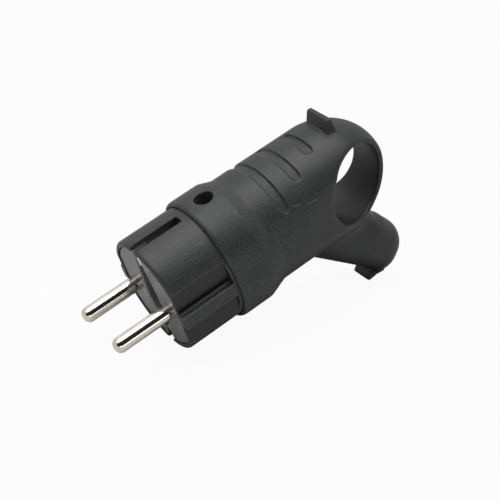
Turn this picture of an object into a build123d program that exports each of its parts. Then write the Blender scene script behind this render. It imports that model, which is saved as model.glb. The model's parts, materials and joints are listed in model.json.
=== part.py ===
"""Angled rubber mains plug: pull-ring housing, nose with earth clips, pins and the terminals inside."""
import math
import os

from build123d import *

# Every piece is drawn in the plug's own frame: X runs back from the front face along the plug,
# Y runs across the two pins and Z points to the upper earth clip. Lengths are in millimetres.

# Fits
pin_clearance = 0.03
screw_clearance = 0.1
carrier_clearance = 0.1
collar_clearance = 0.15
clip_clearance = 0.2
deck_clearance = 0.3
spine_clearance = 0.44
lug_clearance = 0.2
tail_clearance = 2.0
duct_clearance = 0.5

# Pins
pin_diameter = 4.8
pin_length = 19.0
pin_spacing = 19.0
pin_tip_round = 2.0
pin_shank_diameter = 4.4
terminal_width = 5.2
terminal_length = 10.0
terminal_drop = 3.2
terminal_rise = 2.6
terminal_chamfer = 0.65

# Screws
screw_diameter = 3.0
screw_head_diameter = 5.2
screw_head_height = 2.2
screw_slot_width = 0.7
screw_slot_depth = 0.9
screw_head_chamfer = 0.3
clamp_plate_thickness = 0.8
clamp_plate_length = 6.0

# Nose shell
nose_length = 19.0
nose_edge = 1.2
nose_tail = 11.5
rim_wall = 1.7
shell_wall = 3.3
slot_end = 16.6
guide_reach = 9.4
guide_wall = 1.0
guide_length = 18.3
rib_half_width = 2.2
bead_x = 21.0
bead_width = 1.6
bead_height = 0.65

# Contact carrier
plate_setback = 0.4
plate_thickness = 5.0
plate_edge = 0.5
channel_half_width = 3.4
channel_neck = 11.4
channel_depth = 11.0
channel_floor = 3.9
spine_half_width = 4.4
pin_boss_wall = 1.3
pin_boss_length = 5.6
deck_bottom = 7.0
deck_thickness = 4.0
deck_half_width = 6.5
deck_window = 4.4
tail_half_width = 9.0
tail_overhang = 4.0
lug_inset = 2.98
lug_diameter = 6.8
lug_length = 4.0
carrier_screw_bite = 3.4

# Earth contact
clip_width = 3.0
clip_thickness = 0.8
clip_sink = 3.9
clip_draw = 0.6
clip_lip = 2.8
clip_lower_lip = 1.4
clip_bend = 1.2
clip_base_width = 7.0
clip_base_top = 6.4
clip_base_inset = 1.8
earth_hole_inset = 5.4
earth_bore_diameter = 4.9
earth_sleeve_diameter = 6.2
earth_mouth_x = 1.2
earth_bore_depth = 10.8
earth_rivet_diameter = 3.0
earth_rivet_head = 4.8
earth_rivet_height = 0.8
earth_screw_z = 2.0
earth_screw_length = 5.0

# Housing screw under the collar hole
access_x = 25.9
access_diameter = 6.0
access_boss_diameter = 8.8
access_seat = 2.4
nut_width = 5.5
nut_height = 2.4

# Cord clamp
clamp_x = 40.0
clamp_length = 6.0
clamp_half_width = 9.6
clamp_height = 3.0
clamp_corner = 2.0
clamp_screw_y = 7.0
clamp_screw_grip = 3.5
cable_diameter = 9.0
cable_squeeze = 0.8

# Housing
collar_diameter = 40.2
collar_step = 1.4
collar_end = 30.0
collar_lip = 1.0
collar_edge = 1.5
waist_end = 38.0
waist_step = 0.9
grip_radius = 18.3
grip_rise = 0.45
dome_x = 68.15
dome_step = 0.95
dome_blend_step = 3.7
flank_shave = 0.5
flank_taper = 4.336
flank_edge = 2.5
ring_shift = 1.95
ring_z = 0.15
ring_wall = 5.05
ring_rim = 1.0
outlet_reach = 29.05
outlet_wall = 2.74
outlet_angle = 45.0
outlet_diameter = 17.52
outlet_blend = 7.0
outlet_mouth = 7.0
outlet_bore_length = 18.0
outlet_lip_start = 1.0
outlet_lip_drop = 1.6
cavity_radius = 14.6
cavity_wall = 3.8
cavity_end_radius = 7.5
fin_shift = -0.05
fin_height = 3.5
fin_foot = 3.73
fin_top = 1.6
fin_lean = 1.2
fin_half_width = 5.2
hook_height = 3.7
hook_foot = 3.3
hook_top = 1.2
hook_heel = 1.0
hook_half_width = 4.0
fin_round = 0.4
groove_first = 41.0
groove_pitch = 8.6
groove_width = 3.2
groove_angles = (57.0, 39.0, 23.0)
groove_front_depth = 0.25
groove_back_depth = 0.85

# Values worked out from the sizes above
collar_radius = collar_diameter / 2
nose_radius = collar_radius - collar_step
bore_radius = nose_radius + collar_clearance
pin_radius = pin_diameter / 2
pin_shank_radius = pin_shank_diameter / 2
screw_radius = screw_diameter / 2
screw_head_radius = screw_head_diameter / 2
screw_hole_radius = screw_radius + screw_clearance
shell_end = nose_length + nose_tail
rim_bore_radius = nose_radius - rim_wall
shell_bore_radius = nose_radius - shell_wall
guide_y = math.sqrt(nose_radius ** 2 - guide_reach ** 2)
rim_half_width = guide_y - guide_wall
slot_width = clip_width + 2 * clip_clearance
plate_back = plate_setback + plate_thickness
spine_back = channel_depth + channel_floor
pin_boss_back = plate_back + pin_boss_length
pin_y = pin_spacing / 2
pin_boss_radius = shell_bore_radius - pin_y - pin_boss_wall
lug_radius = lug_diameter / 2
lug_y = spine_half_width + lug_clearance + lug_radius
lug_z = -math.sqrt((shell_bore_radius - lug_inset) ** 2 - lug_y ** 2)
deck_top = deck_bottom + deck_thickness
clip_x = spine_back + carrier_clearance
clip_back = clip_x + clip_thickness
clip_front_rise = nose_radius - clip_sink
clip_back_rise = clip_front_rise - clip_draw
clip_base_bottom = clip_base_inset - shell_bore_radius
spine_half_height = clip_back_rise - clip_thickness / 2 - spine_clearance
earth_hole_z = earth_hole_inset - shell_bore_radius
window_end = clip_back + deck_window - clip_thickness
terminal_x = pin_boss_back + terminal_length / 2
tail_end = clamp_x + tail_overhang
clamp_top = deck_bottom - cable_diameter + cable_squeeze + clamp_height / 2
clamp_bottom = clamp_top - clamp_height
cable_radius = cable_diameter / 2
waist_radius = grip_radius - waist_step
flank_half_width = grip_radius - flank_shave
flank_bend = ((dome_x - waist_end) ** 2 + flank_taper ** 2) / (2 * flank_taper)
dome_radius = grip_radius - dome_step
dome_blend = grip_radius + dome_blend_step
ring_x = dome_x + ring_shift
fin_x = dome_x + fin_shift
ring_hole_radius = dome_radius - ring_wall
outlet_radius = outlet_diameter / 2
outlet_offset = ring_hole_radius + outlet_wall + cable_radius
outlet_cos = math.cos(math.radians(outlet_angle))
outlet_sin = math.sin(math.radians(outlet_angle))
outlet_x = ring_x + outlet_reach * outlet_cos - outlet_offset * outlet_sin
outlet_z = ring_z - outlet_reach * outlet_sin - outlet_offset * outlet_cos
cavity_shoulder = tail_end + tail_clearance
cavity_end = ring_x - ring_hole_radius - cavity_wall
blend_back = math.sqrt((dome_blend - dome_radius) ** 2 - (dome_blend - grip_radius) ** 2)
blend_start = dome_x - blend_back
dome_start = dome_x + dome_radius * blend_back / (dome_blend - dome_radius)
dome_start_radius = dome_radius * (dome_blend - grip_radius) / (dome_blend - dome_radius)
sides = (-1, 1)


def across(x):
    """Plane square to the plug's axis, x behind the front face, seen as Y and Z."""
    return Plane.YZ.offset(x)


def level(z):
    """Plane parallel to the plan view at height z, seen as X and Y."""
    return Plane.XY.offset(z)


def flank(x):
    """Half width of the grip in plan, x behind the front face."""
    return flank_half_width - flank_bend + math.sqrt(flank_bend ** 2 - (x - waist_end) ** 2)


def slotted_screw(seat, length):
    """Pan head screw with a driver slot; seat is the plane under its head, facing out."""
    with BuildPart() as screw:
        with BuildSketch(seat):
            Circle(screw_head_radius)
        extrude(amount=screw_head_height)
        rim = screw.edges().filter_by(lambda e: seat.to_local_coords(e.center()).Z > screw_head_height / 2)
        chamfer(rim, screw_head_chamfer)
        with BuildSketch(seat):
            Circle(screw_radius)
        extrude(amount=-length)
        with BuildSketch(seat.offset(screw_head_height - screw_slot_depth)):
            Rectangle(screw_head_diameter, screw_slot_width)
        extrude(amount=screw_slot_depth, mode=Mode.SUBTRACT)
    return screw.part


def clamp_plate(seat):
    """Square wire plate with a hole for its screw; seat is the plane that it lies on."""
    with BuildPart() as plate:
        with BuildSketch(seat):
            Rectangle(clamp_plate_length, terminal_width)
            Circle(screw_hole_radius, mode=Mode.SUBTRACT)
        extrude(amount=clamp_plate_thickness)
    return plate.part


# Nose shell: front sleeve with side guides, earth slots and the boss of the housing screw
with BuildPart() as nose_shell:
    with BuildSketch(across(0)):
        Circle(nose_radius)
    extrude(amount=shell_end)
    fillet(nose_shell.edges().sort_by(Axis.X)[0], nose_edge)
    with BuildSketch(across(0)):
        Circle(rim_bore_radius)
        Rectangle(2 * rim_half_width, 2 * rim_bore_radius, mode=Mode.INTERSECT)
    extrude(amount=plate_back, mode=Mode.SUBTRACT)
    with BuildSketch(across(0)):
        Circle(shell_bore_radius)
    extrude(amount=shell_end, mode=Mode.SUBTRACT)
    # flats above and below a rib on each side
    with BuildSketch(across(0)):
        for side in sides:
            with Locations((side * nose_radius, 0)):
                Rectangle(2 * (nose_radius - guide_y), 2 * guide_reach)
                Rectangle(2 * (nose_radius - guide_y), 2 * rib_half_width, mode=Mode.SUBTRACT)
    extrude(amount=guide_length, mode=Mode.SUBTRACT)
    # earth slots, open at the front
    with BuildSketch(Plane.XZ):
        with Locations((slot_end / 2, nose_radius), (slot_end / 2, -nose_radius)):
            Rectangle(slot_end, 2 * (shell_wall + rim_wall))
    extrude(amount=slot_width / 2, both=True, mode=Mode.SUBTRACT)
    # groove that the housing's bead snaps into
    with BuildSketch(across(bead_x)):
        Circle(nose_radius)
        Circle(nose_radius - bead_height, mode=Mode.SUBTRACT)
    extrude(amount=bead_width / 2 + collar_clearance, both=True, mode=Mode.SUBTRACT)
    # lugs for the carrier screws
    with BuildSketch(across(plate_back)):
        with Locations(*[(side * lug_y, lug_z) for side in sides]):
            Circle(lug_radius)
            Circle(screw_hole_radius, mode=Mode.SUBTRACT)
    extrude(amount=lug_length)
    # boss and driver hole of the housing screw
    with BuildSketch(level(deck_top)):
        with Locations((access_x, 0)):
            Circle(access_boss_diameter / 2)
    extrude(amount=nose_radius - shell_wall / 2 - deck_top)
    with BuildSketch(level(deck_top + access_seat)):
        with Locations((access_x, 0)):
            Circle(access_diameter / 2)
    extrude(amount=nose_radius, mode=Mode.SUBTRACT)
    with BuildSketch(level(deck_top)):
        with Locations((access_x, 0)):
            Circle(screw_hole_radius)
    extrude(amount=nose_radius, mode=Mode.SUBTRACT)

# Contact carrier: face plate with its central channel, pin bosses and the deck behind
with BuildPart() as contact_carrier:
    with BuildSketch(across(plate_setback)):
        Circle(rim_bore_radius - carrier_clearance)
        Rectangle(2 * (rim_half_width - carrier_clearance), 2 * rim_bore_radius, mode=Mode.INTERSECT)
    extrude(amount=plate_thickness)
    fillet(contact_carrier.edges().group_by(Axis.X)[0], plate_edge)
    with BuildSketch(across(plate_back)):
        Rectangle(2 * spine_half_width, 2 * spine_half_height)
    extrude(amount=spine_back - plate_back)
    with BuildSketch(across(plate_back)):
        with Locations((-pin_y, 0), (pin_y, 0)):
            Circle(pin_boss_radius)
    extrude(amount=pin_boss_length)
    # deck that carries the housing nut, with a wider tail for the cord clamp
    with BuildSketch(level(deck_bottom)):
        with BuildLine():
            Polyline(
                (plate_back, deck_half_width),
                (shell_end, deck_half_width),
                (shell_end + tail_half_width - deck_half_width, tail_half_width),
                (tail_end, tail_half_width),
                (tail_end, -tail_half_width),
                (shell_end + tail_half_width - deck_half_width, -tail_half_width),
                (shell_end, -deck_half_width),
                (plate_back, -deck_half_width),
                close=True,
            )
        make_face()
    extrude(amount=deck_thickness)
    with BuildSketch(level(deck_bottom)):
        with Locations(((spine_back + window_end) / 2, 0)):
            Rectangle(window_end - spine_back, clip_base_width + 2 * deck_clearance)
    extrude(amount=deck_thickness, mode=Mode.SUBTRACT)
    # channel between the half plates, widest between the pins
    with BuildSketch(across(0)):
        with BuildLine():
            Polyline(
                (slot_width / 2, nose_radius),
                (slot_width / 2, channel_neck),
                (channel_half_width, pin_radius),
                (channel_half_width, 0),
                (0, 0),
                (0, nose_radius),
                close=True,
            )
        make_face()
        mirror(about=Plane.XZ)
        mirror(about=Plane.YZ)
    extrude(amount=channel_depth, mode=Mode.SUBTRACT)
    # pins, earth sleeve and the screws
    with BuildSketch(across(0)):
        with Locations((-pin_y, 0), (pin_y, 0)):
            Circle(pin_shank_radius + pin_clearance)
        with Locations((0, earth_hole_z)):
            Circle(earth_sleeve_diameter / 2 + carrier_clearance)
        with Locations((0, earth_screw_z)):
            Circle(screw_hole_radius)
    extrude(amount=spine_back, mode=Mode.SUBTRACT)
    with BuildSketch(across(plate_back)):
        with Locations(*[(side * lug_y, lug_z) for side in sides]):
            Circle(screw_hole_radius)
    extrude(amount=-carrier_screw_bite - screw_clearance, mode=Mode.SUBTRACT)
    with BuildSketch(level(deck_bottom)):
        with Locations((clamp_x, -clamp_screw_y), (clamp_x, clamp_screw_y), (access_x, 0)):
            Circle(screw_hole_radius)
    extrude(amount=deck_thickness, mode=Mode.SUBTRACT)
    with BuildSketch(level(deck_bottom)):
        with Locations((access_x, 0)):
            Rectangle(nut_width + 2 * screw_clearance, nut_width + 2 * screw_clearance)
    extrude(amount=nut_height, mode=Mode.SUBTRACT)

# Pins: round in front, with a flat topped terminal block behind
pins = {}
for name, side in (("line_pin", -1), ("neutral_pin", 1)):
    with BuildPart() as pin:
        with BuildSketch(across(-pin_length)):
            with Locations((side * pin_y, 0)):
                Circle(pin_radius)
        extrude(amount=pin_length + plate_setback)
        fillet(pin.edges().sort_by(Axis.X)[0], pin_tip_round)
        with BuildSketch(across(plate_setback)):
            with Locations((side * pin_y, 0)):
                Circle(pin_shank_radius)
        extrude(amount=pin_boss_back - plate_setback)
        with BuildSketch(across(pin_boss_back)):
            with Locations((side * pin_y, (terminal_rise - terminal_drop) / 2)):
                Rectangle(terminal_width, terminal_rise + terminal_drop)
        extrude(amount=terminal_length)
        chamfer(pin.edges().filter_by(Axis.X).group_by(Axis.Z)[0], terminal_chamfer)
        with BuildSketch(level(terminal_rise)):
            with Locations((terminal_x, side * pin_y)):
                Circle(screw_hole_radius)
        extrude(amount=-terminal_rise - terminal_drop, mode=Mode.SUBTRACT)
    pins[name] = pin.part

# Earth clip: one strip bent to a U, its lips hooked in at the front of the slots
with BuildPart() as earth_clip:
    with BuildLine() as strip:
        FilletPolyline(
            (earth_mouth_x, 0, -clip_front_rise + clip_lower_lip),
            (earth_mouth_x, 0, -clip_front_rise),
            (clip_x + clip_thickness / 2, 0, -clip_back_rise),
            (clip_x + clip_thickness / 2, 0, clip_back_rise),
            (earth_mouth_x, 0, clip_front_rise),
            (earth_mouth_x, 0, clip_front_rise - clip_lip),
            radius=clip_bend,
        )
    with BuildSketch(level(-clip_front_rise + clip_lower_lip)):
        with Locations((earth_mouth_x, 0)):
            Rectangle(clip_thickness, clip_width)
    sweep()
    with BuildSketch(across(clip_x)):
        with Locations((0, (clip_base_top + clip_base_bottom) / 2)):
            Rectangle(clip_base_width, clip_base_top - clip_base_bottom)
    extrude(amount=clip_thickness)
    with BuildSketch(across(clip_x)):
        with Locations((0, earth_hole_z)):
            Circle(earth_rivet_diameter / 2 + pin_clearance)
        with Locations((0, earth_screw_z)):
            Circle(screw_hole_radius)
    extrude(amount=clip_thickness, mode=Mode.SUBTRACT)

# Earth socket: turned sleeve, riveted through the clip
with BuildPart() as earth_socket:
    with BuildSketch(across(earth_mouth_x)):
        with Locations((0, earth_hole_z)):
            Circle(earth_sleeve_diameter / 2)
    extrude(amount=clip_x - earth_mouth_x)
    with BuildSketch(across(clip_x)):
        with Locations((0, earth_hole_z)):
            Circle(earth_rivet_diameter / 2)
    extrude(amount=clip_thickness)
    with BuildSketch(across(clip_back)):
        with Locations((0, earth_hole_z)):
            Circle(earth_rivet_head / 2)
    extrude(amount=earth_rivet_height)
    with BuildSketch(across(earth_mouth_x)):
        with Locations((0, earth_hole_z)):
            Circle(earth_bore_diameter / 2)
    extrude(amount=earth_bore_depth, mode=Mode.SUBTRACT)

# Cord clamp: bar under the deck's tail, hollowed for the cable
with BuildPart() as cord_clamp:
    with BuildSketch(level(clamp_bottom)):
        with Locations((clamp_x, 0)):
            RectangleRounded(clamp_length, 2 * clamp_half_width, clamp_corner)
        with Locations((clamp_x, -clamp_screw_y), (clamp_x, clamp_screw_y)):
            Circle(screw_hole_radius, mode=Mode.SUBTRACT)
    extrude(amount=clamp_height)
    with BuildSketch(across(clamp_x)):
        with Locations((0, deck_bottom - cable_radius)):
            Circle(cable_radius)
    extrude(amount=clamp_length, both=True, mode=Mode.SUBTRACT)

# Housing nut: square nut in the deck's pocket
with BuildPart() as housing_nut:
    with BuildSketch(level(deck_bottom)):
        with Locations((access_x, 0)):
            Rectangle(nut_width, nut_width)
            Circle(screw_hole_radius, mode=Mode.SUBTRACT)
    extrude(amount=nut_height)

# Finger grooves: shallow bands around the grip's top, deepest at their rear edge
with BuildPart() as grooves:
    groove_starts = [groove_first + groove_pitch * i for i in range(len(groove_angles))]
    with BuildSketch(Plane.XZ):
        for x in groove_starts:
            with BuildLine():
                Polyline(
                    (x, grip_rise + grip_radius - groove_front_depth),
                    (x + groove_width, grip_rise + grip_radius - groove_back_depth),
                    (x + groove_width, grip_rise + grip_radius + fin_height),
                    (x, grip_rise + grip_radius + fin_height),
                    close=True,
                )
            make_face()
    revolve(axis=Axis((0, 0, grip_rise), (1, 0, 0)))
    with BuildSketch(level(grip_rise)):
        for x, angle in zip(groove_starts, groove_angles):
            with Locations((x + groove_width / 2, 0)):
                reach = grip_radius * math.sin(math.radians(angle))
                SlotOverall(2 * reach, groove_width, rotation=90)
    extrude(amount=2 * grip_radius, mode=Mode.INTERSECT)

# Plane across the outlet's end, its normal along the cable, x across the pins, y to the fin
outlet = Plane(
    origin=(outlet_x, 0, outlet_z),
    x_dir=(0, 1, 0),
    z_dir=(outlet_cos, 0, -outlet_sin),
)
# Side view of the outlet: x along the cable, y to the side that carries the fin
outlet_side = Plane(origin=outlet.origin, x_dir=outlet.z_dir, z_dir=outlet.x_dir)


def on_hook(edge):
    """True for an edge of the hook that stands clear of the outlet's tube."""
    place = outlet_side.to_local_coords(edge.center())
    return place.X > 0 and place.Y > outlet_radius + hook_height / 2


# Housing: one rubber moulding with collar, waist, grip, pull ring, outlet and two finger fins
with BuildPart() as housing:
    # grip with a rounded end, narrowed in plan towards the ring
    grip_start = (collar_end + waist_end) / 2
    with BuildSketch(Plane.XZ.shift_origin((0, 0, grip_rise))):
        with BuildLine():
            Line((grip_start, 0), (grip_start, grip_radius))
            Line((grip_start, grip_radius), (blend_start, grip_radius))
            shoulder = TangentArc(
                (blend_start, grip_radius), (dome_start, dome_start_radius), tangent=(1, 0)
            )
            TangentArc(shoulder @ 1, (dome_x + dome_radius, 0), tangent=shoulder % 1)
            Line((dome_x + dome_radius, 0), (grip_start, 0))
        make_face()
    revolve(axis=Axis((0, 0, grip_rise), (1, 0, 0)))
    plan_end = dome_x + dome_radius + fin_foot
    plan_middle = (grip_start + plan_end) / 2
    with BuildSketch(Plane.XY):
        with BuildLine():
            ThreePointArc(
                (grip_start, flank(grip_start)),
                (plan_middle, flank(plan_middle)),
                (plan_end, flank(plan_end)),
            )
            Line((plan_end, flank(plan_end)), (plan_end, 0))
            Line((plan_end, 0), (grip_start, 0))
            Line((grip_start, 0), (grip_start, flank(grip_start)))
        make_face()
        mirror(about=Plane.XZ)
    extrude(amount=2 * grip_radius, both=True, mode=Mode.INTERSECT)
    flank_edges = housing.edges().filter_by(
        lambda e: e.geom_type not in (GeomType.LINE, GeomType.CIRCLE)
    )
    fillet(flank_edges, flank_edge)
    # angled outlet with a domed end, blended into the grip
    grip_edges = housing.edges()
    with BuildSketch(outlet):
        Circle(outlet_radius)
    extrude(amount=-2 * grip_radius)
    with Locations(outlet.location):
        Sphere(outlet_radius)
    blend_edges = (housing.edges() - grip_edges).filter_by(
        lambda e: e.geom_type != GeomType.LINE
        and (e.center() - outlet.origin).length > outlet_diameter
    )
    fillet(blend_edges, outlet_blend)
    # finger hole of the pull ring, with soft rims
    solid_edges = housing.edges()
    with BuildSketch(Plane.XZ):
        with Locations((ring_x, ring_z)):
            Circle(ring_hole_radius)
    extrude(amount=2 * grip_radius, both=True, mode=Mode.SUBTRACT)
    rim_edges = (housing.edges() - solid_edges).filter_by(
        lambda e: math.hypot(e.center().X - ring_x, e.center().Z - ring_z) < ring_hole_radius + ring_rim
        and e.geom_type != GeomType.LINE
    )
    fillet(rim_edges, ring_rim)
    # finger fin on top of the ring
    fin_z = grip_rise + grip_radius
    with BuildSketch(Plane.XZ):
        with BuildLine():
            Polyline(
                (fin_x - fin_lean, fin_z - fin_height),
                (fin_x + fin_lean, fin_z + fin_height),
                (fin_x + fin_lean + fin_top, fin_z + fin_height),
                (fin_x + fin_foot, fin_z - fin_height),
                close=True,
            )
        make_face()
    extrude(amount=fin_half_width, both=True)
    fillet(housing.edges().filter_by(lambda e: e.center().Z > fin_z + fin_round), fin_round)
    # collar and waist in front of the grip
    with BuildSketch(Plane.XZ) as collar:
        with BuildLine():
            Polyline(
                (nose_length, 0),
                (nose_length, collar_radius),
                (collar_end, collar_radius),
                (waist_end, waist_radius),
                (waist_end, 0),
                close=True,
            )
        make_face()
        fillet(collar.vertices().sort_by_distance((nose_length, collar_radius))[0], collar_lip)
        fillet(collar.vertices().sort_by_distance((collar_end, collar_radius))[0], collar_edge)
    revolve(axis=Axis.X)
    # lower half of the outlet's end stands a little lower than its tube
    with BuildSketch(outlet_side):
        with BuildLine():
            lip_rise = math.sqrt(outlet_radius ** 2 - outlet_lip_start ** 2)
            Line((outlet_lip_start, outlet_lip_drop), (outlet_lip_start, outlet_lip_drop + lip_rise))
            RadiusArc(
                (outlet_lip_start, outlet_lip_drop + lip_rise),
                (outlet_radius, outlet_lip_drop),
                outlet_radius,
            )
            Line((outlet_radius, outlet_lip_drop), (outlet_lip_start, outlet_lip_drop))
        make_face()
    revolve(axis=Axis(outlet_side.from_local_coords((0, outlet_lip_drop, 0)), outlet.z_dir))
    # finger hook under the outlet
    hook_root = outlet_radius - hook_height
    hook_tip = outlet_radius + hook_height
    with BuildSketch(outlet_side):
        with BuildLine():
            Polyline(
                (outlet_lip_start, hook_root),
                (outlet_lip_start, hook_tip),
                (outlet_lip_start + hook_top, hook_tip),
                (outlet_lip_start + hook_foot, outlet_radius + hook_heel),
                (outlet_mouth, outlet_radius - hook_heel),
                (outlet_mouth, hook_root),
                close=True,
            )
        make_face()
    extrude(amount=hook_half_width, both=True)
    fillet(housing.edges().filter_by(on_hook), fin_round)
    # finger grooves
    add(grooves.part, mode=Mode.SUBTRACT)
    # mouth of the outlet, its bore and the wider duct to the wiring space
    with BuildSketch(outlet.offset(outlet_mouth)):
        Circle(outlet_diameter)
    extrude(amount=outlet_radius, mode=Mode.SUBTRACT)
    with BuildSketch(outlet.offset(outlet_mouth)):
        Circle(cable_radius)
    extrude(amount=-outlet_bore_length, mode=Mode.SUBTRACT)
    with BuildSketch(outlet.offset(outlet_mouth - outlet_bore_length)):
        Circle(cable_radius + duct_clearance)
    extrude(
        amount=outlet_bore_length - outlet_mouth - (outlet_x - cavity_shoulder) / outlet_cos,
        mode=Mode.SUBTRACT,
    )
    # seat of the nose shell with its bead, and the wiring space behind
    with BuildSketch(Plane.XZ):
        with BuildLine():
            Polyline(
                (nose_length, 0),
                (nose_length, bore_radius),
                (bead_x - bead_width / 2, bore_radius),
                (bead_x - bead_width / 4, bore_radius - bead_height),
                (bead_x + bead_width / 4, bore_radius - bead_height),
                (bead_x + bead_width / 2, bore_radius),
                (shell_end + collar_clearance, bore_radius),
                (shell_end + collar_clearance, cavity_radius),
                (cavity_shoulder, cavity_radius),
                (cavity_end, cavity_end_radius),
                (cavity_end, 0),
                close=True,
            )
        make_face()
    revolve(axis=Axis.X, mode=Mode.SUBTRACT)
    # driver hole of the housing screw
    with BuildSketch(level(deck_top + access_seat)):
        with Locations((access_x, 0)):
            Circle(access_diameter / 2)
    extrude(amount=collar_diameter, mode=Mode.SUBTRACT)

# Seats of the screws and plates, each facing the way its head points
line_seat = Plane((terminal_x, -pin_y, terminal_rise))
neutral_seat = Plane((terminal_x, pin_y, terminal_rise))
earth_seat = Plane((clip_back, 0, earth_screw_z), x_dir=(0, 0, 1), z_dir=(1, 0, 0))
lug_seats = [Plane((plate_back + lug_length, side * lug_y, lug_z), z_dir=(1, 0, 0)) for side in sides]
clamp_seats = [Plane((clamp_x, side * clamp_screw_y, clamp_bottom), z_dir=(0, 0, -1)) for side in sides]
access_plane = Plane((access_x, 0, deck_top + access_seat))
terminal_grip = terminal_rise + terminal_drop

pieces = {
    "housing": housing.part,
    "nose_shell": nose_shell.part,
    "contact_carrier": contact_carrier.part,
    "line_pin": pins["line_pin"],
    "neutral_pin": pins["neutral_pin"],
    "earth_clip": earth_clip.part,
    "earth_socket": earth_socket.part,
    "line_clamp_plate": clamp_plate(line_seat),
    "neutral_clamp_plate": clamp_plate(neutral_seat),
    "earth_clamp_plate": clamp_plate(earth_seat),
    "line_terminal_screw": slotted_screw(line_seat.offset(clamp_plate_thickness), terminal_grip),
    "neutral_terminal_screw": slotted_screw(neutral_seat.offset(clamp_plate_thickness), terminal_grip),
    "earth_terminal_screw": slotted_screw(earth_seat.offset(clamp_plate_thickness), earth_screw_length),
    "carrier_screw_left": slotted_screw(lug_seats[0], lug_length + carrier_screw_bite),
    "carrier_screw_right": slotted_screw(lug_seats[1], lug_length + carrier_screw_bite),
    "cord_clamp": cord_clamp.part,
    "clamp_screw_left": slotted_screw(clamp_seats[0], deck_bottom + clamp_screw_grip - clamp_bottom),
    "clamp_screw_right": slotted_screw(clamp_seats[1], deck_bottom + clamp_screw_grip - clamp_bottom),
    "housing_screw": slotted_screw(access_plane, access_seat + deck_thickness),
    "housing_nut": housing_nut.part,
}

# The plug lies down on the lower front edge of its nose and on the hook's tip
tip = outlet_side.from_local_coords((outlet_lip_start + hook_top, hook_tip, 0))
nose_z = -math.sqrt((nose_radius - nose_edge) ** 2 - (slot_width / 2) ** 2)
run = tip.X - nose_edge
rise = nose_z - tip.Z
tilt = math.atan2(rise, run) - math.asin((nose_edge - fin_round / 2) / math.hypot(run, rise))
lying = Location((0, 0, 0), (0, -math.degrees(tilt), 0))
box = Compound([lying * piece for piece in pieces.values()]).bounding_box()
rest = Location((-box.center().X, -box.center().Y, -box.min.Z)) * lying

os.makedirs("parts", exist_ok=True)
for name, piece in pieces.items():
    placed = rest * piece
    placed.label = name
    export_step(placed, f"parts/{name}.step")
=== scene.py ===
"""Angled rubber plug: softened mouldings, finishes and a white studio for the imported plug."""
import json
import math

import bpy
from bpy.props import FloatProperty, FloatVectorProperty, IntProperty, PointerProperty
from mathutils import Matrix, Vector

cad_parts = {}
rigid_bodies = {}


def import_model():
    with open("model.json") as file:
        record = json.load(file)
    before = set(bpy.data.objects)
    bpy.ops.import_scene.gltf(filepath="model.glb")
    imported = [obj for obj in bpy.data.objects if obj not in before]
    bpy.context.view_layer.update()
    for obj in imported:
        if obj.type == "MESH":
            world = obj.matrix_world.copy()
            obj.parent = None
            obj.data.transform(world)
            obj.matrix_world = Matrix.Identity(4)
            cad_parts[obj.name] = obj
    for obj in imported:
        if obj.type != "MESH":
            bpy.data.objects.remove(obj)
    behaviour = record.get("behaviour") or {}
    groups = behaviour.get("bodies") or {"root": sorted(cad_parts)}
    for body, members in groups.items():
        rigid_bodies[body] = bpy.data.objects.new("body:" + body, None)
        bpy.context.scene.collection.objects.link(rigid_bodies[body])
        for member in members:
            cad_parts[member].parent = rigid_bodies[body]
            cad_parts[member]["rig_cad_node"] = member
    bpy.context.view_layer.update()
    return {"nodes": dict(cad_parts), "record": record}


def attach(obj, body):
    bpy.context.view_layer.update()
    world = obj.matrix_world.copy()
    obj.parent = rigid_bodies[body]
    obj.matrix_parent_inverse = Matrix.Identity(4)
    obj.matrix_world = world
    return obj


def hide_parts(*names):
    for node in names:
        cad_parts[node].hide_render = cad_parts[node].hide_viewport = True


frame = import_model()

bl_info = {
    "name": "Angled rubber plug",
    "version": (1, 0, 0),
    "blender": (4, 5, 0),
    "location": "3D View > Sidebar > Plug",
    "description": "Softened mouldings, finishes and a white studio for an angled rubber plug",
    "category": "Object",
}

MM = 0.001
MOST_TRIANGLES = 190000
WELD_GAP = 0.002 * MM
ROUND_ANGLE = math.radians(32)

# The plug's own frame: x runs back from the front face, y across the pins, z to the upper earth clip
MOUNTS = {mount["name"]: mount for mount in frame["record"]["mounts"]}
PIN_MIDDLE_AHEAD = 8.3 * MM
PLUG_X = -Vector(MOUNTS["line_pin"]["axis"])
PLUG_LEAN = math.atan2(PLUG_X.z, PLUG_X.x)
PIN_MIDDLE = (Vector(MOUNTS["line_pin"]["pos_m"]) + Vector(MOUNTS["neutral_pin"]["pos_m"])) / 2
PLUG_FRONT = PIN_MIDDLE + PLUG_X * PIN_MIDDLE_AHEAD
TO_PLUG = (Matrix.Translation(PLUG_FRONT) @ Matrix.Rotation(-PLUG_LEAN, 4, "Y")).inverted()

# Landmarks of the housing in that frame, in mm
COLLAR_LIP_X = 20.0
COLLAR_LIP_RADIUS = 19.0
COLLAR_END_X = 33.5
SCREW_HOLE_X = 25.9
SCREW_HOLE_REACH = 5.0
GRIP_EDGE_X = 35.6
GRIP_START_X = 38.0
GRIP_MIDDLE_Z = 0.45
GRIP_RADIUS = 18.3
GROOVES_END_X = 62.0
GROOVE_RADIUS = 16.5
GROOVE_HALF_WIDTH = 15.8
FLANK_HALF_WIDTH = 17.8
FLANK_TAPER = 214.0
FIN_START_X = 64.0
FIN_END_X = 76.0
FIN_FOOT_Z = 17.4
OUTLET_TOP_Z = -19.0
OUTLET_END_X = 76.83
OUTLET_END_Z = -34.21
OUTLET_LIP_START = 1.0
OUTLET_BORE_REACH = 6.0
HOOK_START = 8.0
HOOK_HALF_WIDTH = 4.8

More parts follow.
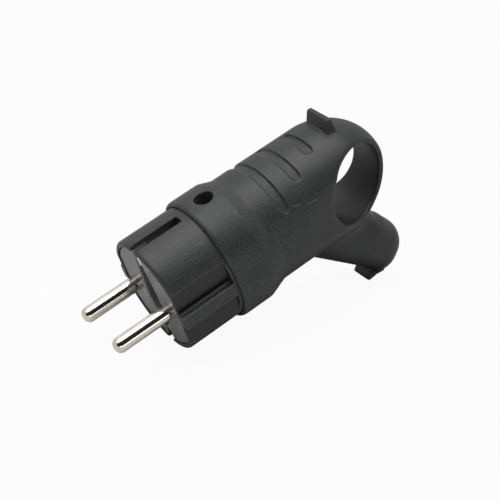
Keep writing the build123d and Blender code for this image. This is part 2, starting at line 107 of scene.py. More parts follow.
# The surface is raised around this point, where the outlet grows out of the ring, in mm
SWELL_X = 79.0
SWELL_Z = -22.0
SWELL_REACH = 9.0
SWELL_HALF_WIDTH = 13.0
SWELL_GAIN = 1.6
SWELL_MOST = 1.0

# How far edges are smoothed, from 0 to 1, and how far from an edge that reaches, in mm
CRISP = 0.03
SOFT_GROOVE = 0.015
SOFT_BODY = 0.05
SOFT_COLLAR_LIP = 0.6
SOFT_GRIP_EDGE = 0.1
SOFT_FLANK_EDGE = 0.9
SOFT_TUBE = 0.3
SOFT_HOOK = 0.25
SOFT_OUTLET_LIP = 0.8
SOFT_NOSE = 0.5
SOFT_FACE = 0.8
LIP_REACH = 2.0
FLANK_EDGE_RISE = 3.5
FLANK_EDGE_DEPTH = 3.0

# The mould's flash: a wandering pale line down the flanks; and a painted highlight, a faint pale line around
# the grip's front edge
FLASH_HALF_WIDTH = 0.2 * MM
FLASH_SLOPE = -0.336
FLASH_HEIGHT = 25.2 * MM
FLASH_WANDER = 1.6 * MM
FLASH_WAVES = 260.0
FLASH_BUMP = 3.0
HIGHLIGHT_RING_X = 36.1 * MM
HIGHLIGHT_RING_STRENGTH = 0.35

# Side guides of the nose, whose flats carry painted shade
GUIDE_REACH = 9.4 * MM
# painted shade: the guide flats are darkened towards this tint of the nose's colour
GUIDE_SHADE_TINT = 0.05
GUIDE_BUMP = 0.2
GUIDE_GLOSS = -0.22

# Tints of a finish's colour, and depths of its texture
SPECK_DARK = 0.65
SPECK_PALE = 1.9
# a paler tint painted along convex edges as a highlight, also the colour of the mould's flash
FLASH_AND_HIGHLIGHT_PALE = 2.4
TARNISHED = 0.88
GLOSS_SPREAD = 0.05
GRAIN_DEPTH = 0.06 * MM
RING_DEPTH = 0.02 * MM
# how far past flat an edge's pointiness goes for the full painted highlight
EDGE_HIGHLIGHT_SHARPNESS = 0.05
MOULDED_PATCHES = 90.0
METAL_PATCHES = 220.0

# Moulded finishes: speckles against the set grain, bump strength, roughness and what else they show
MOULDED = {
    "rubber": {"fineness": 1.0, "bump": 0.75, "roughness": 0.46, "housing": True},
    "nose": {"fineness": 1.0, "bump": 0.8, "roughness": 0.46, "guides": True},
    "face": {"fineness": 1.4, "bump": 0.2, "roughness": 0.36},
    "clamp": {"fineness": 1.0, "bump": 0.4, "roughness": 0.6},
}
# Metal finishes: lathe rings per metre, bump strength, lowest and highest roughness
METAL = {
    "nickel": {"rings": 1500.0, "bump": 0.012, "low": 0.14, "high": 0.15},
    "brass": {"rings": 3800.0, "bump": 0.3, "low": 0.2, "high": 0.34},
    "steel": {"rings": 2600.0, "bump": 0.3, "low": 0.28, "high": 0.45},
}

# Studio, in metres: each lamp's name, the property with its power, its place, width and height
LAMPS = (
    ("softbox", "key", (0.0, 0.05, 1.0), 0.8, 0.8),
    ("back_lamp", "back", (0.15, 0.75, 0.75), 0.9, 0.7),
    ("side_lamp", "side", (-0.6, 0.1, 0.85), 0.6, 0.6),
    ("front_strip", "front", (-0.15, -0.85, 0.10), 0.9, 0.18),
)
AIM = Vector((0, 0, 0.03))
FLOOR_SIZE = 6.0
FLOOR_WHITE = 0.94
CARD_PLACE = Vector((-0.42, -0.60, 0.55))
CARD_WIDTH = 2.2
CARD_HEIGHT = 1.2
CAMERA_PLACE = (-0.18225, -0.253851, 0.191917)
CAMERA_TURN = (61.4607, -1.8998, -34.212)
WHITE = (1.0, 1.0, 1.0, 1.0)
BLACK_CARD = (0.02, 0.02, 0.02, 1.0)


class PlugSizes(bpy.types.PropertyGroup):
    """Sizes of the softened edges and of the fine detail."""

    housing_step: FloatProperty(
        name="Housing step", description="Mesh step of the softened housing",
        default=0.3 * MM, unit="LENGTH",
    )
    housing_rounds: IntProperty(
        name="Housing rounds", description="Smoothing rounds over the housing's softest edges",
        default=60, min=0,
    )
    hard_step: FloatProperty(
        name="Hard step", description="Mesh step of the nose shell and the face plates",
        default=0.25 * MM, unit="LENGTH",
    )
    hard_rounds: IntProperty(
        name="Hard rounds", description="Smoothing rounds over the edges of nose and face",
        default=6, min=0,
    )
    grain: FloatProperty(
        name="Grain", description="Size of one speckle of the moulded texture",
        default=0.45 * MM, unit="LENGTH",
    )


class PlugColours(bpy.types.PropertyGroup):
    """Base colours of the finishes."""

    rubber: FloatVectorProperty(
        name="Rubber", description="Housing rubber",
        default=(0.036, 0.038, 0.038), subtype="COLOR", min=0, max=1,
    )
    nose: FloatVectorProperty(
        name="Nose", description="Plastic of the nose shell",
        default=(0.04, 0.042, 0.042), subtype="COLOR", min=0, max=1,
    )
    face: FloatVectorProperty(
        name="Face", description="Plastic of the contact carrier",
        default=(0.2, 0.205, 0.205), subtype="COLOR", min=0, max=1,
    )
    nickel: FloatVectorProperty(
        name="Nickel", description="Plating of pins and clip",
        default=(0.88, 0.83, 0.74), subtype="COLOR", min=0, max=1,
    )
    brass: FloatVectorProperty(
        name="Brass", description="Earth socket",
        default=(0.74, 0.58, 0.31), subtype="COLOR", min=0, max=1,
    )
    steel: FloatVectorProperty(
        name="Steel", description="Zinc plated screws",
        default=(0.62, 0.63, 0.64), subtype="COLOR", min=0, max=1,
    )
    clamp: FloatVectorProperty(
        name="Clamp", description="Plastic of the cord clamp",
        default=(0.10, 0.10, 0.10), subtype="COLOR", min=0, max=1,
    )


class PlugStudio(bpy.types.PropertyGroup):
    """Camera, lamps and floor."""

    lens: FloatProperty(
        name="Lens", description="Focal length in millimetres", default=83.546, unit="CAMERA",
    )
    key: FloatProperty(
        name="Softbox", description="Power of the overhead softbox", default=6.1, unit="POWER",
    )
    back: FloatProperty(
        name="Back", description="Power of the lamp behind the plug", default=0.5, unit="POWER",
    )
    side: FloatProperty(
        name="Side", description="Power of the lamp above the pins", default=1.8, unit="POWER",
    )
    front: FloatProperty(
        name="Front", description="Power of the low strip in front", default=1.0, unit="POWER",
    )
    mirrored: FloatProperty(
        name="Mirrored", description="Brightness of the room in reflections",
        default=0.62, subtype="FACTOR", min=0, max=1,
    )
    floor: FloatVectorProperty(
        name="Floor", description="Colour of the floor",
        default=(0.92, 0.92, 0.92), subtype="COLOR", min=0, max=1,
    )


def feed(tree, target, value):
    """Links an input to a socket, or sets it to a plain value."""
    if isinstance(value, bpy.types.NodeSocket):
        tree.links.new(value, target)
    else:
        target.default_value = value


def add_node(tree, kind, place, **inputs):
    """New shader node at a place in the tree, with sockets or plain values for some of its inputs."""
    made = tree.nodes.new(kind)
    made.location = place
    for name, value in inputs.items():
        feed(tree, made.inputs[name.replace("_", " ")], value)
    return made


def math_node(tree, place, operation, *values):
    """Math node fed by sockets or plain numbers; returns its output."""
    made = add_node(tree, "ShaderNodeMath", place)
    made.operation = operation
    for target, value in zip(made.inputs, values):
        feed(tree, target, value)
    return made.outputs["Value"]


def ramp(tree, place, value, low, high, start=0.0, end=1.0):
    """Map Range from low..high to start..end, clamped; returns its output."""
    made = add_node(
        tree, "ShaderNodeMapRange", place,
        Value=value, From_Min=low, From_Max=high, To_Min=start, To_Max=end,
    )
    return made.outputs["Result"]


def noise_along(tree, place, value, scale, detail):
    """Noise over a single value; returns its output."""
    made = add_node(tree, "ShaderNodeTexNoise", place, Scale=scale, Detail=detail)
    made.noise_dimensions = "1D"
    feed(tree, made.inputs["W"], value)
    return made.outputs["Fac"]


def object_place(tree, place):
    """Object coordinates: returns the output."""
    return add_node(tree, "ShaderNodeTexCoord", place).outputs["Object"]


def plug_place(tree, place):
    """Object coordinates turned into the plug's own frame: returns its x, y and z outputs by name."""
    left, top = place
    turn = add_node(
        tree, "ShaderNodeMapping", (left + 200, top), Vector=object_place(tree, place),
        Location=TO_PLUG.translation, Rotation=(0.0, PLUG_LEAN, 0.0),
    )
    return add_node(tree, "ShaderNodeSeparateXYZ", (left + 400, top), Vector=turn.outputs["Vector"]).outputs


def new_group(name, inputs, outputs):
    """Empty shader group with float inputs (name, default) and float outputs (name).

    Returns its tree, the sockets that bring the inputs and the sockets that take the outputs.
    """
    tree = bpy.data.node_groups.new(name, "ShaderNodeTree")
    for label, default in inputs:
        socket = tree.interface.new_socket(label, in_out="INPUT", socket_type="NodeSocketFloat")
        socket.default_value = default
    for label in outputs:
        tree.interface.new_socket(label, in_out="OUTPUT", socket_type="NodeSocketFloat")
    entry = add_node(tree, "NodeGroupInput", (-900, 0))
    leave = add_node(tree, "NodeGroupOutput", (700, 0))
    return tree, entry.outputs, leave.inputs


def grain_group():
    """Fine moulded texture: a height and a mask of pale speckles."""
    if "Moulded grain" in bpy.data.node_groups:
        return bpy.data.node_groups["Moulded grain"]
    tree, given, result = new_group("Moulded grain", [("Grains per metre", 2200.0)], ["Height", "Speckle"])
    place = object_place(tree, (-900, 250))
    scale = given["Grains per metre"]
    coarse = add_node(
        tree, "ShaderNodeTexNoise", (-500, 200), Vector=place, Scale=scale, Detail=3.0, Roughness=0.65
    ).outputs["Fac"]
    fine = add_node(tree, "ShaderNodeTexVoronoi", (-500, -150), Vector=place, Scale=scale)
    pits = ramp(tree, (-200, -150), fine.outputs["Distance"], 0.1, 0.7, 1.0, 0.0)
    feed(tree, result["Height"], math_node(tree, (100, -100), "MULTIPLY_ADD", pits, 0.45, coarse))
    feed(tree, result["Speckle"], ramp(tree, (100, 200), coarse, 0.46, 0.72))
    return tree


def patch_group():
    """Broad uneven patches left by moulding and handling."""
    if "Handled patches" in bpy.data.node_groups:
        return bpy.data.node_groups["Handled patches"]
    tree, given, result = new_group("Handled patches", [("Patches per metre", MOULDED_PATCHES)], ["Patches"])
    clouds = add_node(
        tree, "ShaderNodeTexNoise", (-500, 200), Vector=object_place(tree, (-900, 250)),
        Scale=given["Patches per metre"], Detail=5.0, Roughness=0.55, Distortion=0.4,
    )
    feed(tree, result["Patches"], ramp(tree, (-100, 200), clouds.outputs["Fac"], 0.3, 0.7))
    return tree


def edge_highlight_group():
    """Painted highlight along convex edges: a mask of those edges, broken up by noise."""
    if "Rubbed edges" in bpy.data.node_groups:
        return bpy.data.node_groups["Rubbed edges"]
    tree, given, result = new_group("Rubbed edges", [("Sharpness", EDGE_HIGHLIGHT_SHARPNESS)], ["Wear"])
    shape = add_node(tree, "ShaderNodeNewGeometry", (-900, 250))
    # a flat surface has a pointiness of 0.5
    sharpest = math_node(tree, (-700, 350), "ADD", 0.5, given["Sharpness"])
    edge = ramp(tree, (-500, 200), shape.outputs["Pointiness"], 0.505, sharpest)
    patchy = add_node(
        tree, "ShaderNodeTexNoise", (-500, -150), Vector=object_place(tree, (-900, -150)),
        Scale=700.0, Detail=4.0,
    )
    broken = ramp(tree, (-200, -150), patchy.outputs["Fac"], 0.35, 0.65, 0.35)
    feed(tree, result["Wear"], math_node(tree, (100, 100), "MULTIPLY", edge, broken))
    return tree


def flash_and_highlight_group():
    """Broken line of mould flash down each flank of the grip, and a painted highlight, a faint pale line
    around its front edge.
    """
    if "Mould flash" in bpy.data.node_groups:
        return bpy.data.node_groups["Mould flash"]
    tree, given, result = new_group("Mould flash", [("Half width", FLASH_HALF_WIDTH)], ["Flash"])
    place = plug_place(tree, (-1700, 200))
    along, up = place["X"], place["Z"]

    def widths_from(left, top, value, middle):
        """How many half widths a value is away from the line's middle."""
        gap = math_node(tree, (left, top), "SUBTRACT", value, middle)
        gap = math_node(tree, (left + 150, top), "ABSOLUTE", gap)
        return math_node(tree, (left + 300, top), "DIVIDE", gap, given["Half width"])

    wander = noise_along(tree, (-1100, 0), along, FLASH_WAVES, 3.0)
    course = math_node(tree, (-900, 200), "MULTIPLY_ADD", along, FLASH_SLOPE, FLASH_HEIGHT)
    course = math_node(tree, (-700, 200), "MULTIPLY_ADD", wander, FLASH_WANDER, course)
    line = ramp(tree, (0, 200), widths_from(-500, 200, up, course), 0.3, 1.0, 1.0, 0.0)
    begun = ramp(tree, (0, 0), along, 44.5 * MM, 46 * MM)
    ended = ramp(tree, (0, -150), along, 56.5 * MM, 58.5 * MM, 1.0, 0.0)
    patchy = ramp(tree, (0, -300), wander, 0.36, 0.5)
    line = math_node(tree, (200, 200), "MULTIPLY", line, begun)
    line = math_node(tree, (350, 100), "MULTIPLY", line, ended)
    line = math_node(tree, (500, 0), "MULTIPLY", line, patchy)
    # painted highlight: a faint pale ring around the grip's front edge, fading out above 12 mm
    away = widths_from(-500, -500, along, HIGHLIGHT_RING_X)
    ring = ramp(tree, (0, -500), away, 0.3, 1.2, HIGHLIGHT_RING_STRENGTH, 0.0)
    below = ramp(tree, (0, -700), up, 12 * MM, 15 * MM, 1.0, 0.0)
    ring = math_node(tree, (200, -500), "MULTIPLY", ring, below)
    feed(tree, result["Flash"], math_node(tree, (600, -200), "MAXIMUM", line, ring))
    return tree


def guide_group():
    """Smooth flats of the nose's side guides, and the painted shade on them, strongest along the foot of the
    rib.
    """
    if "Guide flats" in bpy.data.node_groups:
        return bpy.data.node_groups["Guide flats"]
    tree, given, result = new_group("Guide flats", [("Reach", GUIDE_REACH)], ["Guide", "Shade"])
    place = plug_place(tree, (-1700, 200))
    side = math_node(tree, (-1050, 200), "ABSOLUTE", place["Y"])
    rise = math_node(tree, (-1050, 0), "ABSOLUTE", place["Z"])
    share = math_node(tree, (-900, 0), "DIVIDE", rise, given["Reach"])
    length = ramp(tree, (-700, 400), place["X"], 18.2 * MM, 18.5 * MM, 1.0, 0.0)
    height = ramp(tree, (-700, -200), share, 0.94, 1.02, 1.0, 0.0)
    outside = ramp(tree, (-700, 200), side, 15.6 * MM, 15.9 * MM)
    guide = math_node(tree, (-500, 300), "MULTIPLY", length, height)
    guide = math_node(tree, (-300, 300), "MULTIPLY", guide, outside)
    feed(tree, result["Guide"], guide)
    # painted shade: only on the flats, not the rib, and darkest low on them beside the rib
    foot = ramp(tree, (-700, 0), side, 16.5 * MM, 17.0 * MM, 1.0, 0.0)
    flat = math_node(tree, (-100, 100), "MULTIPLY", guide, foot)
    deep = ramp(tree, (0, -200), share, 0.25, 0.7, 1.0, 0.7)
    feed(tree, result["Shade"], math_node(tree, (200, 0), "MULTIPLY", flat, deep))
    return tree


def turning_group():
    """Lathe marks: fine rings around the plug's axis, and a mask of duller rings."""
    if "Turning marks" in bpy.data.node_groups:
        return bpy.data.node_groups["Turning marks"]
    tree, given, result = new_group("Turning marks", [("Rings per metre", 2600.0)], ["Height", "Dull"])
    along = plug_place(tree, (-1300, 250))["X"]
    rings = noise_along(tree, (-500, 0), along, given["Rings per metre"], 2.0)
    feed(tree, result["Height"], rings)
    feed(tree, result["Dull"], ramp(tree, (100, 200), rings, 0.4, 0.75))
    return tree


def place_group(tree, group, place, **inputs):
    """A shader group in a material, with its own values; returns its outputs."""
    made = add_node(tree, "ShaderNodeGroup", place)
    made.node_tree = group
    for name, value in inputs.items():
        made.inputs[name.replace("_", " ")].default_value = value
    return made.outputs


def tinted(colour, factor):
    """A colour made darker or lighter by a factor, with alpha."""
    return (*(min(1.0, channel * factor) for channel in colour), 1.0)


def shade_mix(tree, place, first, second, share):
    """Colour mix from first to second by a share; returns its output."""
    mix = add_node(tree, "ShaderNodeMix", place)
    mix.data_type = "RGBA"
    feed(tree, mix.inputs["A"], first)
    feed(tree, mix.inputs["B"], second)
    feed(tree, mix.inputs["Factor"], share)
    return mix.outputs["Result"]


def new_finish(name):
    """Empty node material with its shader: returns the material, its tree and the shader."""
    material = bpy.data.materials.new(name)
    material.use_nodes = True
    return material, material.node_tree, material.node_tree.nodes["Principled BSDF"]


def dress(tree, shader, shade, gloss, height, bump, depth):
    """Feeds a shader with a colour, a roughness and a bump."""
    dent = add_node(tree, "ShaderNodeBump", (-300, -100), Strength=bump, Distance=depth, Height=height)
    feed(tree, shader.inputs["Base Color"], shade)
    feed(tree, shader.inputs["Roughness"], gloss)
    feed(tree, shader.inputs["Normal"], dent.outputs["Normal"])


def texture_fade(tree):
    """Share of the housing's texture and of its painted edge highlight: both fade out towards the ring and
    low on the grip.
    """
    place = plug_place(tree, (-1700, -450))
    fade = ramp(tree, (-1000, -450), place["X"], 48 * MM, 68 * MM, 1.0, 0.3)
    grip = ramp(tree, (-1000, -650), place["X"], 37 * MM, 39 * MM)
    low = ramp(tree, (-1000, -850), place["Z"], -6 * MM, 0.0, 0.75, 0.0)
    low = math_node(tree, (-800, -750), "MULTIPLY", low, grip)
    kept = math_node(tree, (-900, -950), "SUBTRACT", 1.0, low)
    return math_node(tree, (-800, -550), "MULTIPLY", fade, kept)


def moulded_finish(name, colour, fineness, bump, roughness, housing=False, guides=False):
    """Matte moulding: speckled colour, uneven gloss, fine bump and painted highlights along convex edges.

    The housing also shows the mould's flash and a painted highlight around the grip's front edge, and the
    nose's smooth guides carry painted shade.
    """
    material, tree, shader = new_finish(name)
    grains = 1 / bpy.context.scene.plug_sizes.grain * fineness
    grain = place_group(tree, grain_group(), (-900, 0), Grains_per_metre=grains)
    patches = place_group(tree, patch_group(), (-900, -250), Patches_per_metre=MOULDED_PATCHES)["Patches"]
    edge_highlight = place_group(tree, edge_highlight_group(), (-900, 250), Sharpness=EDGE_HIGHLIGHT_SHARPNESS)["Wear"]
    speckle, height = grain["Speckle"], grain["Height"]
    if housing:
        fade = texture_fade(tree)
        speckle = math_node(tree, (-700, -450), "MULTIPLY", fade, speckle)
        edge_highlight = math_node(tree, (-500, 450), "MULTIPLY", fade, edge_highlight)
        height = math_node(tree, (-600, -600), "MULTIPLY", fade, height)
    # a paler tint: painted highlight along convex edges, and the colour of the mould's flash
    pale = tinted(colour, FLASH_AND_HIGHLIGHT_PALE)
    shade = shade_mix(tree, (-600, 200), tinted(colour, SPECK_DARK), tinted(colour, SPECK_PALE), speckle)
    shade = shade_mix(tree, (-350, 200), shade, pale, edge_highlight)
    gloss = ramp(tree, (-600, -250), patches, 0.0, 1.0, roughness - GLOSS_SPREAD, roughness + GLOSS_SPREAD)
    if housing:
        # the flash mask also carries the painted highlight around the grip's front edge
        flash = place_group(tree, flash_and_highlight_group(), (-900, 450), Half_width=FLASH_HALF_WIDTH)["Flash"]
        shade = shade_mix(tree, (-150, 300), shade, pale, flash)
        height = math_node(tree, (-450, -600), "MULTIPLY_ADD", flash, FLASH_BUMP, height)
    if guides:
        flats = place_group(tree, guide_group(), (-900, 450), Reach=GUIDE_REACH)
        # painted shade on the guide flats of the nose
        shade = shade_mix(tree, (-150, 300), shade, tinted(colour, GUIDE_SHADE_TINT), flats["Shade"])
        calm = ramp(tree, (-700, 600), flats["Guide"], 0.0, 1.0, 1.0, GUIDE_BUMP)
        height = math_node(tree, (-600, -600), "MULTIPLY", calm, height)
        gloss = math_node(tree, (-450, -300), "MULTIPLY_ADD", flats["Shade"], GUIDE_GLOSS, gloss)
    dress(tree, shader, shade, gloss, height, bump, GRAIN_DEPTH)
    return material


def metal_finish(name, colour, rings, bump, low, high):
    """Turned or plated metal: ringed gloss, fine lathe marks and a little tarnish."""
    material, tree, shader = new_finish(name)
    marks = place_group(tree, turning_group(), (-900, 0), Rings_per_metre=rings)
    patches = place_group(tree, patch_group(), (-900, -250), Patches_per_metre=METAL_PATCHES)["Patches"]
    shade = shade_mix(tree, (-500, 200), tinted(colour, 1.0), tinted(colour, TARNISHED), patches)
    gloss = ramp(tree, (-500, -200), marks["Dull"], 0.0, 1.0, low, high)
    dress(tree, shader, shade, gloss, marks["Height"], bump, RING_DEPTH)
    shader.inputs["Metallic"].default_value = 1.0
    return material


def finish(slot):
    """The finish of a material slot, made once."""
    name = f"plug_{slot}"
    if name in bpy.data.materials:
        return bpy.data.materials[name]
    colour = tuple(getattr(bpy.context.scene.plug_colours, slot))
    if slot in METAL:
        return metal_finish(name, colour, **METAL[slot])
    return moulded_finish(name, colour, **MOULDED[slot])


def select_only(obj):
    """Makes obj the only selected and the active object."""
    bpy.ops.object.select_all(action="DESELECT")
    obj.select_set(True)
    bpy.context.view_layer.objects.active = obj


def merged_copy(node, name):
    """Copy of a CAD node as a new piece in the same place, its triangles joined."""
    select_only(frame["nodes"][node])
    bpy.ops.object.duplicate()
    piece = bpy.context.view_layer.objects.active
    piece.name = name
    piece.data.name = name
    del piece["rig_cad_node"]
    bpy.ops.object.mode_set(mode="EDIT")
    bpy.ops.mesh.select_all(action="SELECT")
    bpy.ops.mesh.remove_doubles(threshold=WELD_GAP)
    bpy.ops.mesh.customdata_custom_splitnormals_clear()
    bpy.ops.object.mode_set(mode="OBJECT")
    return piece


def apply_modifier(piece, kind, **settings):
    """Adds a modifier with its settings and applies it."""
    made = piece.modifiers.new(kind.title(), kind)
    for name, value in settings.items():
        setattr(made, name, value)
    select_only(piece)
    bpy.ops.object.modifier_apply(modifier=made.name)


def apply_weighted(piece, weight, kind, **settings):
    """Applies a modifier whose effect at each vertex is weight(point in mm of the plug's own frame)."""
    group = piece.vertex_groups.new(name="weighted")
    for vertex in piece.data.vertices:
        group.add([vertex.index], weight(TO_PLUG @ vertex.co / MM), "REPLACE")
    apply_modifier(piece, kind, vertex_group=group.name, **settings)
    piece.vertex_groups.clear()


def hand_over(piece, slot, node):
    """Gives a finished piece its finish and its body, and hides the CAD node that it stands for."""
    piece.data.materials.clear()
    piece.data.materials.append(finish(slot))
    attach(piece, "root")
    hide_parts(node)


def soft_copy(node, name, slot, step, rounds, softness, swell=None):
    """Copy of a moulding with an even mesh, its edges rounded where softness(point in mm) is high.

    swell(point in mm) gives how far, in mm, the surface is raised before that.
    """
    piece = merged_copy(node, name)
    apply_modifier(piece, "REMESH", mode="VOXEL", voxel_size=step, adaptivity=0.0)
    if swell:
        apply_weighted(piece, swell, "DISPLACE", strength=MM, mid_level=0.0, direction="NORMAL")
    apply_weighted(piece, softness, "SMOOTH", factor=0.5, iterations=rounds)
    triangles = 2 * len(piece.data.polygons)
    if triangles > MOST_TRIANGLES:
        apply_modifier(piece, "DECIMATE", ratio=MOST_TRIANGLES / triangles)
    select_only(piece)
    bpy.ops.object.shade_smooth()
    hand_over(piece, slot, node)


def smooth_copy(node, name, slot):
    """Copy of a metal piece with smooth shading over its round faces."""
    piece = merged_copy(node, name)
    select_only(piece)
    bpy.ops.object.shade_smooth_by_angle(angle=ROUND_ANGLE)
    hand_over(piece, slot, node)


def near(value, middle, reach):
    """1 at the middle, falling to 0 at a reach to either side."""
    return max(0.0, 1.0 - abs(value - middle) / reach)


class PLUG_OT_housing(bpy.types.Operator):
    """Softens the rubber housing: broad edges become round, grooves, fin and holes stay crisp"""

    bl_idname = "plug.housing"
    bl_label = "Rubber housing"

    def execute(self, context):
        sizes = context.scene.plug_sizes
        soft_copy(
            "housing", "rubber_housing", "rubber",
            sizes.housing_step, sizes.housing_rounds, self.softness, self.swell,
        )
        return {"FINISHED"}

    @staticmethod
    def swell(place):
        """How far the surface is raised where the outlet grows out of the ring, in mm."""
        x, y, z = place
        if abs(y) >= SWELL_HALF_WIDTH:
            return 0.0
        share = near(math.hypot(x - SWELL_X, z - SWELL_Z), 0, SWELL_REACH)
        return min(SWELL_MOST, SWELL_GAIN * share * share * (3 - 2 * share))

    @classmethod
    def softness(cls, place):
        """How far a point is smoothed, by its place in the plug's own frame."""
        x, y, z = place
        if x < COLLAR_END_X:
            return cls.collar_softness(x, y, z)
        if z > FIN_FOOT_Z and FIN_START_X < x < FIN_END_X:
            return CRISP
        if x < GRIP_START_X:
            return CRISP + SOFT_GRIP_EDGE * near(x, GRIP_EDGE_X, LIP_REACH)
        rise = z - GRIP_MIDDLE_Z
        outside = math.hypot(y, rise) > GROOVE_RADIUS and abs(y) < GROOVE_HALF_WIDTH
        if x < GROOVES_END_X and z > 0 and outside:
            return SOFT_GROOVE
        if z < OUTLET_TOP_Z:
            return cls.outlet_softness(x, y, z)
        flank = FLANK_HALF_WIDTH - (x - GRIP_START_X) ** 2 / FLANK_TAPER
        edge = math.sqrt(max(0.0, GRIP_RADIUS ** 2 - flank ** 2))
        share = near(abs(rise), edge, FLANK_EDGE_RISE) * near(abs(y), flank, FLANK_EDGE_DEPTH)
        return SOFT_BODY + SOFT_FLANK_EDGE * share

    @staticmethod
    def collar_softness(x, y, z):
        """Softness on the collar: its front lip is round, the screw hole stays sharp."""
        if math.hypot(x - SCREW_HOLE_X, y) < SCREW_HOLE_REACH and z > 0:
            return 0.0
        if math.hypot(y, z) > COLLAR_LIP_RADIUS:
            return CRISP + SOFT_COLLAR_LIP * near(x, COLLAR_LIP_X, LIP_REACH)
        return CRISP

    @staticmethod
    def outlet_softness(x, y, z):
        """Softness on the outlet: its end is round, the bore and the hook are less so."""
        ahead, above = x - OUTLET_END_X, z - OUTLET_END_Z
        beyond = (ahead - above) * math.sqrt(0.5)
        aside = (ahead + above) * math.sqrt(0.5)
        if beyond < OUTLET_LIP_START or math.hypot(aside, y) < OUTLET_BORE_REACH:
            return SOFT_TUBE
        if aside < -HOOK_START and abs(y) < HOOK_HALF_WIDTH:
            return SOFT_HOOK
        return SOFT_OUTLET_LIP


class PLUG_OT_nose(bpy.types.Operator):
    """Nose shell with rounded edges along its slots, ribs and rim"""

    bl_idname = "plug.nose"
    bl_label = "Nose shell"

    def execute(self, context):
        sizes = context.scene.plug_sizes
        soft_copy(
            "nose_shell", "nose_sleeve", "nose",
            sizes.hard_step, sizes.hard_rounds, lambda place: SOFT_NOSE,
        )
        return {"FINISHED"}


class PLUG_OT_face(bpy.types.Operator):
    """Contact carrier with rounded borders around its half plates"""

    bl_idname = "plug.face"
    bl_label = "Face plates"

    def execute(self, context):
        sizes = context.scene.plug_sizes
        soft_copy(
            "contact_carrier", "face_plates", "face",
            sizes.hard_step, sizes.hard_rounds, lambda place: SOFT_FACE,
        )
        return {"FINISHED"}


class PLUG_OT_contacts(bpy.types.Operator):
    """Pins, earth clip and earth socket, turned and plated"""

    bl_idname = "plug.contacts"
    bl_label = "Contacts"

    def execute(self, context):
        smooth_copy("line_pin", "line_contact", "nickel")
        smooth_copy("neutral_pin", "neutral_contact", "nickel")
        smooth_copy("earth_clip", "earth_spring", "nickel")
        smooth_copy("earth_socket", "earth_sleeve", "brass")
        return {"FINISHED"}


class PLUG_OT_inner(bpy.types.Operator):
    """Finishes the pieces inside: screws, wire plates, nut and cord clamp"""

    bl_idname = "plug.inner"
    bl_label = "Inner pieces"

    def execute(self, context):
        for name, node in frame["nodes"].items():
            if node.hide_render:
                continue
            slot = "clamp" if name == "cord_clamp" else "steel"
            for place in node.material_slots:
                place.material = finish(slot)
        return {"FINISHED"}


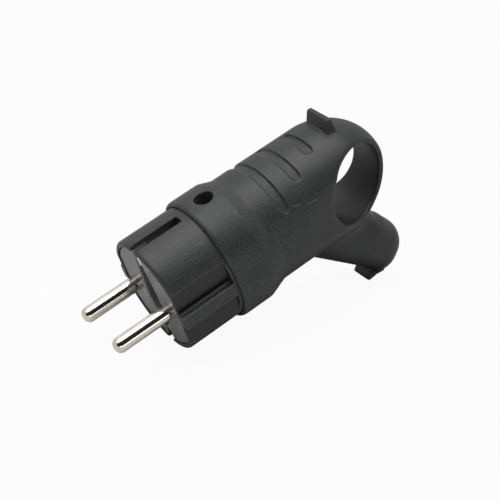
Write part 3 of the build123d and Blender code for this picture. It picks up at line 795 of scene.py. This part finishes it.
class PLUG_OT_stage(bpy.types.Operator):
    """White studio: floor, lamps, dark card behind the camera, room and camera"""

    bl_idname = "plug.stage"
    bl_label = "Studio"

    def execute(self, context):
        studio = context.scene.plug_studio
        self.floor(studio)
        for name, power, place, width, height in LAMPS:
            self.lamp(name, place, getattr(studio, power), width, height)
        self.dark_card()
        self.room(studio)
        self.camera(studio)
        context.scene.view_settings.view_transform = "Standard"
        return {"FINISHED"}

    @staticmethod
    def floor(studio):
        """Pale floor that keeps a faint shadow of the plug on white."""
        bpy.ops.object.select_all(action="DESELECT")
        bpy.ops.mesh.primitive_plane_add(size=FLOOR_SIZE, location=(0, 0, 0))
        floor = bpy.context.view_layer.objects.active
        floor.name = "studio_floor"
        material, tree, shader = new_finish("studio_floor")
        shader.inputs["Base Color"].default_value = (*studio.floor, 1.0)
        shader.inputs["Roughness"].default_value = 0.9
        shader.inputs["Specular IOR Level"].default_value = 0.1
        glow = add_node(tree, "ShaderNodeEmission", (0, -300), Color=WHITE, Strength=1.0)
        path = add_node(tree, "ShaderNodeLightPath", (-300, 400))
        share = math_node(tree, (0, 300), "MULTIPLY", path.outputs["Is Camera Ray"], FLOOR_WHITE)
        mix = add_node(tree, "ShaderNodeMixShader", (300, 0), Fac=share)
        feed(tree, mix.inputs[1], shader.outputs["BSDF"])
        feed(tree, mix.inputs[2], glow.outputs["Emission"])
        feed(tree, tree.nodes["Material Output"].inputs["Surface"], mix.outputs["Shader"])
        floor.data.materials.append(material)

    @staticmethod
    def lamp(name, place, power, width, height):
        """Rectangular lamp at a place, facing the plug."""
        bpy.ops.object.light_add(type="AREA", location=place)
        lamp = bpy.context.view_layer.objects.active
        lamp.name = name
        lamp.data.shape = "RECTANGLE"
        lamp.data.size = width
        lamp.data.size_y = height
        lamp.data.energy = power
        lamp.rotation_euler = (AIM - Vector(place)).to_track_quat("-Z", "Y").to_euler()

    @staticmethod
    def dark_card():
        """Black card behind the camera, which the metal mirrors as a dark streak."""
        bpy.ops.object.select_all(action="DESELECT")
        bpy.ops.mesh.primitive_plane_add(size=1.0)
        card = bpy.context.view_layer.objects.active
        card.name = "dark_card"
        card.data.transform(Matrix.Diagonal((CARD_WIDTH, CARD_HEIGHT, 1.0, 1.0)))
        turn = (AIM - CARD_PLACE).to_track_quat("Z", "Y").to_matrix().to_4x4()
        card.data.transform(Matrix.Translation(CARD_PLACE) @ turn)
        card.visible_camera = False
        material, _, shader = new_finish("dark_card")
        shader.inputs["Base Color"].default_value = BLACK_CARD
        shader.inputs["Roughness"].default_value = 1.0
        card.data.materials.append(material)

    @staticmethod
    def room(studio):
        """White behind the plug, and a dimmer room in reflections."""
        world = bpy.context.scene.world or bpy.data.worlds.new("studio")
        bpy.context.scene.world = world
        world.use_nodes = True
        tree = world.node_tree
        tree.nodes.clear()
        path = add_node(tree, "ShaderNodeLightPath", (-800, 200)).outputs
        seen = math_node(tree, (-500, 200), "MAXIMUM", path["Is Camera Ray"], path["Is Transmission Ray"])
        level = math_node(tree, (-300, 100), "MULTIPLY_ADD", path["Is Glossy Ray"], studio.mirrored, seen)
        white = add_node(tree, "ShaderNodeBackground", (-100, 0), Color=WHITE, Strength=level)
        add_node(tree, "ShaderNodeOutputWorld", (150, 0), Surface=white.outputs["Background"])

    @staticmethod
    def camera(studio):
        """Camera at the viewing angle of a plug lying with its pins to the lower left."""
        bpy.ops.object.camera_add(
            location=CAMERA_PLACE, rotation=tuple(math.radians(angle) for angle in CAMERA_TURN)
        )
        camera = bpy.context.view_layer.objects.active
        camera.name = "photo_camera"
        camera.data.sensor_width = 36.0
        camera.data.lens = studio.lens
        camera.data.clip_start = 0.01
        bpy.context.scene.camera = camera


class PLUG_PT_panel(bpy.types.Panel):
    """Sizes, colours, studio and the steps that build the plug"""

    bl_idname = "PLUG_PT_panel"
    bl_label = "Angled rubber plug"
    bl_space_type = "VIEW_3D"
    bl_region_type = "UI"
    bl_category = "Plug"

    def draw(self, context):
        layout = self.layout
        for group in (context.scene.plug_sizes, context.scene.plug_colours, context.scene.plug_studio):
            column = layout.column(align=True)
            for name in group.__annotations__:
                column.prop(group, name)
        for step in STEPS:
            layout.operator(step.bl_idname)


GROUPS = (PlugSizes, PlugColours, PlugStudio)
STEPS = (PLUG_OT_housing, PLUG_OT_nose, PLUG_OT_face, PLUG_OT_contacts, PLUG_OT_inner, PLUG_OT_stage)


def register():
    for cls in (*GROUPS, *STEPS, PLUG_PT_panel):
        bpy.utils.register_class(cls)
    bpy.types.Scene.plug_sizes = PointerProperty(type=PlugSizes)
    bpy.types.Scene.plug_colours = PointerProperty(type=PlugColours)
    bpy.types.Scene.plug_studio = PointerProperty(type=PlugStudio)


def unregister():
    del bpy.types.Scene.plug_studio
    del bpy.types.Scene.plug_colours
    del bpy.types.Scene.plug_sizes
    for cls in reversed((*GROUPS, *STEPS, PLUG_PT_panel)):
        bpy.utils.unregister_class(cls)


def main():
    register()
    bpy.ops.plug.housing()
    bpy.ops.plug.nose()
    bpy.ops.plug.face()
    bpy.ops.plug.contacts()
    bpy.ops.plug.inner()
    bpy.ops.plug.stage()


if __name__ == "__main__":
    main()
